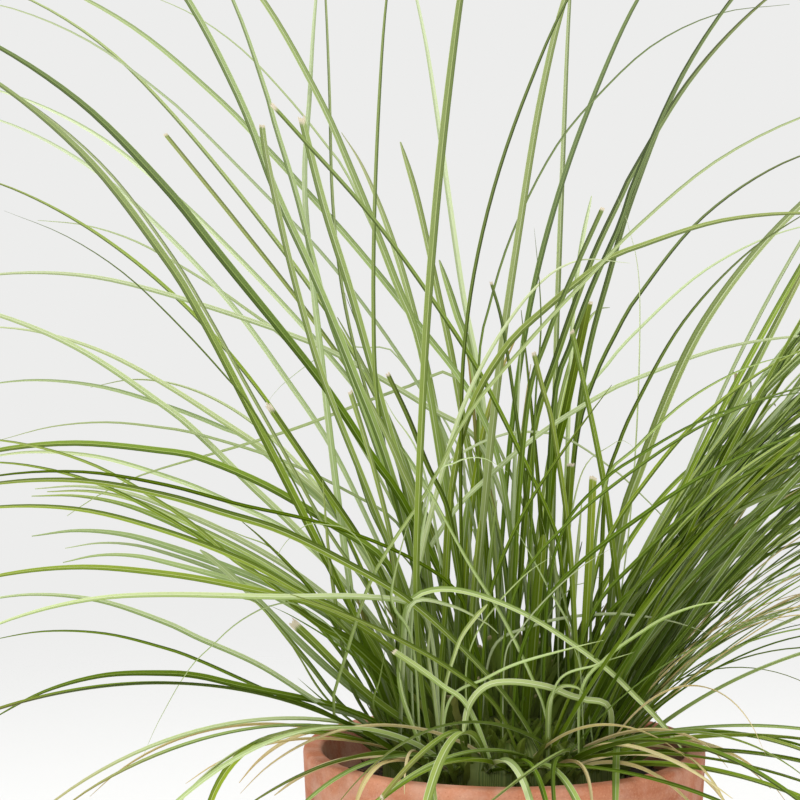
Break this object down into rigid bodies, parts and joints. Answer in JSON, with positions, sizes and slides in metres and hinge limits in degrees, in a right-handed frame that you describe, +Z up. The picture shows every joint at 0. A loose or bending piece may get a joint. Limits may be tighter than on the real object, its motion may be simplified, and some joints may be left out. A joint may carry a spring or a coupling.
{
  "type": "potted ornamental grass clump",
  "caption": "Fountain of long narrow arching grass leaves, some trimmed, growing from a tufted crown in a plain round clay pot with a collar rim.",
  "frame": {"origin": "centre of the pot's flat underside, where the pot stands", "axes": "+Z up along the pot's axis; +X to the right and +Y away as seen from the front of the picture"},
  "size_m": [0.7213, 0.7558, 0.662],
  "materials": {
    "clay": "matt unglazed terracotta, fine grain, faint limescale bloom and paler rubbed edges",
    "soil": "rough dark brown potting soil with bark chips and grit",
    "crown": "fibrous tuft of brown and olive old leaf sheaths and stubs",
    "leaf_two_tone": "satin blade, one half mid-green and the other dark",
    "leaf_mid": "satin mid-green blade, fine lengthwise veins, pale midrib",
    "leaf_olive": "satin olive to yellow-green blade, fine lengthwise veins",
    "leaf_light": "satin pale glaucous green blade, fine lengthwise veins",
    "leaf_dark": "satin deep green blade with darker edges"
  },
  "bodies": {
    "root": {"pot": "clay", "soil": "soil", "crown": "crown", "leaf_front_arch_1": "leaf_two_tone", "leaf_front_arch_2": "leaf_mid", "leaf_upright_1": "leaf_olive", "leaf_left_low_2": "leaf_light", "leaf_left_low_3": "leaf_olive", "leaf_stub_2": "leaf_olive", "leaf_stub_3": "leaf_olive", "leaf_left_low_1": "leaf_dark", "leaf_left_wide": "leaf_dark", "leaf_right_arch_1": "leaf_light", "leaf_right_arch_2": "leaf_olive", "leaf_left_1": "leaf_dark", "leaf_left_2": "leaf_dark", "leaf_right_1": "leaf_olive", "leaf_left_3": "leaf_dark", "leaf_left_4": "leaf_mid", "leaf_right_2": "leaf_mid", "leaf_upright_2": "leaf_olive", "leaf_right_arch_3": "leaf_light", "leaf_stub_1": "leaf_dark", "leaf_stub_4": "leaf_dark", "leaf_left_5": "leaf_mid", "leaf_left_6": "leaf_dark", "leaf_upright_3": "leaf_mid", "leaf_left_7": "leaf_light", "leaf_left_8": "leaf_mid", "leaf_left_9": "leaf_light", "leaf_right_3": "leaf_dark", "leaf_right_4": "leaf_dark", "leaf_left_10": "leaf_light", "leaf_right_5": "leaf_dark", "leaf_left_11": "leaf_olive", "leaf_left_12": "leaf_light", "leaf_left_13": "leaf_light", "leaf_upright_4": "leaf_mid", "leaf_upright_5": "leaf_light", "leaf_right_6": "leaf_mid", "leaf_right_7": "leaf_dark", "leaf_right_8": "leaf_olive", "leaf_right_9": "leaf_light", "leaf_right_10": "leaf_mid", "leaf_right_11": "leaf_light", "leaf_back_1": "leaf_mid", "leaf_back_2": "leaf_mid", "leaf_back_3": "leaf_olive", "leaf_back_4": "leaf_light", "leaf_back_5": "leaf_mid", "leaf_back_6": "leaf_olive", "leaf_front_1": "leaf_mid", "leaf_front_2": "leaf_dark", "leaf_front_3": "leaf_light", "leaf_front_4": "leaf_olive", "leaf_front_5": "leaf_mid", "leaf_front_6": "leaf_light", "leaf_front_7": "leaf_dark"}
  },
  "joints": []
}
